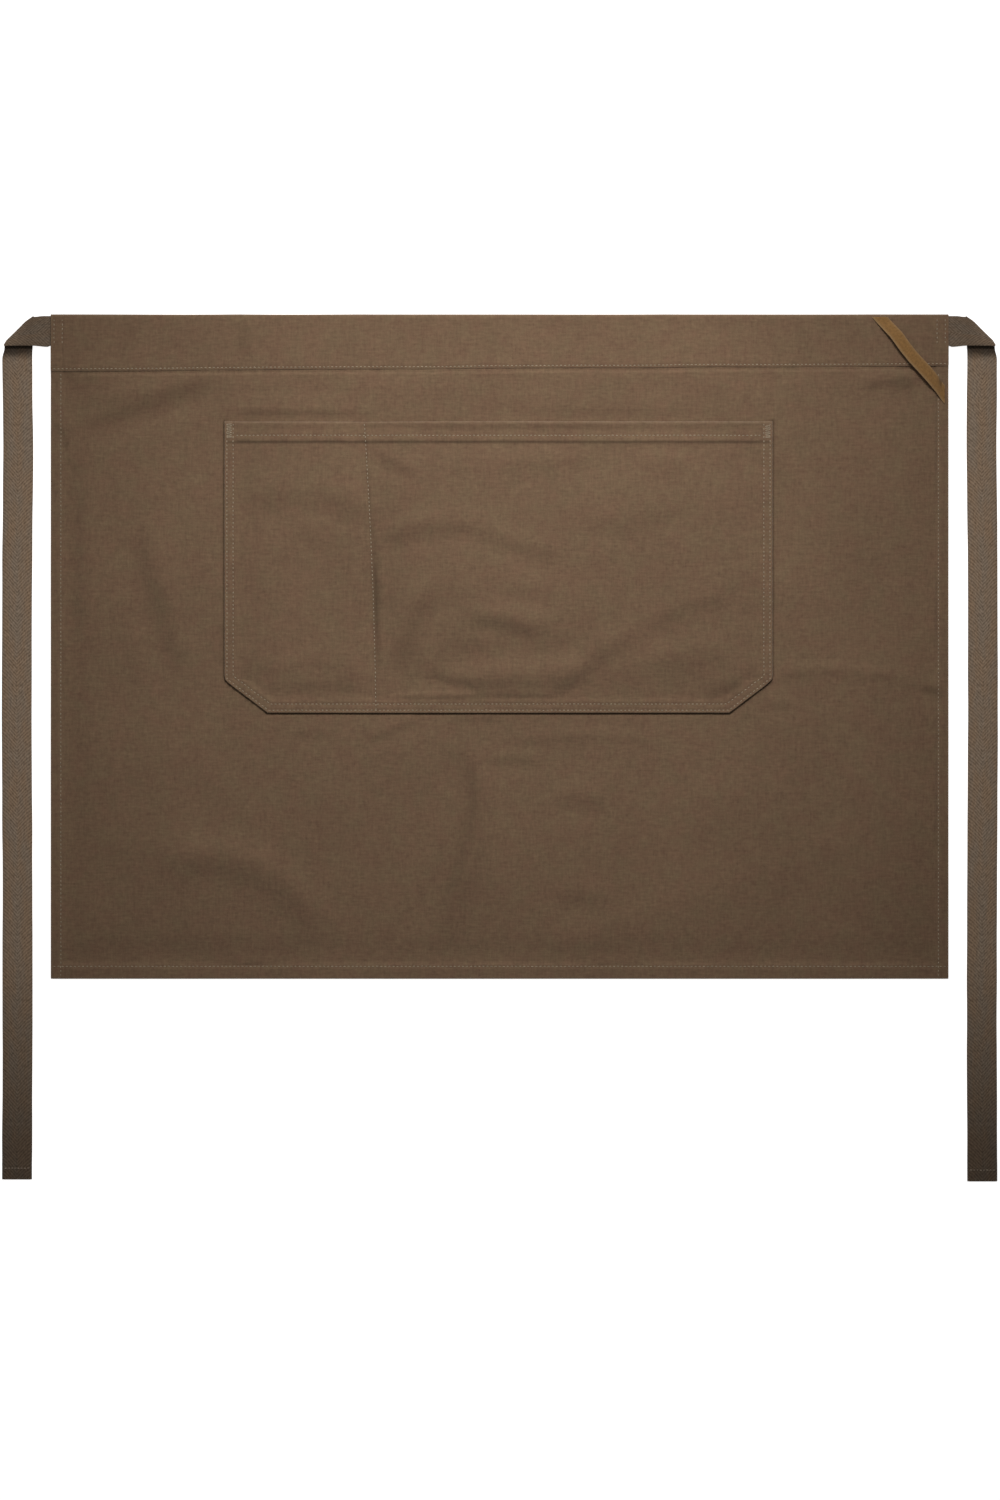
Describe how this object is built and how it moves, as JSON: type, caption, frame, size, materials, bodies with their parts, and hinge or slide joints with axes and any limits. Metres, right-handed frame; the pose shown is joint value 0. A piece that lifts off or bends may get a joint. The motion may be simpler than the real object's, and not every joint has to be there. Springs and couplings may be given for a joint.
{
  "type": "waist apron",
  "caption": "Canvas half apron laid flat: folded waistband, patch pocket with a pen pocket, tape ties at both ends and a tan hanging loop across the top corner.",
  "frame": {"origin": "middle of the whole outline, ties included, on the surface that the apron lies on", "axes": "+X to the right across the front face, +Y up towards the waistband, +Z out of the front face"},
  "size_m": [0.8546, 0.744, 0.0106],
  "materials": {
    "canvas": "heavy cotton canvas in brown, matt, with a fine diagonal weave",
    "tie_tape": "grey-brown cotton herringbone tape, matt",
    "loop_tape": "tan cotton tape, matt, finely ribbed across"
  },
  "bodies": {
    "root": {"apron_panel": "canvas", "waistband": "canvas", "pocket": "canvas", "tie_left": "tie_tape", "tie_right": "tie_tape", "hanging_loop": "loop_tape"}
  },
  "joints": []
}
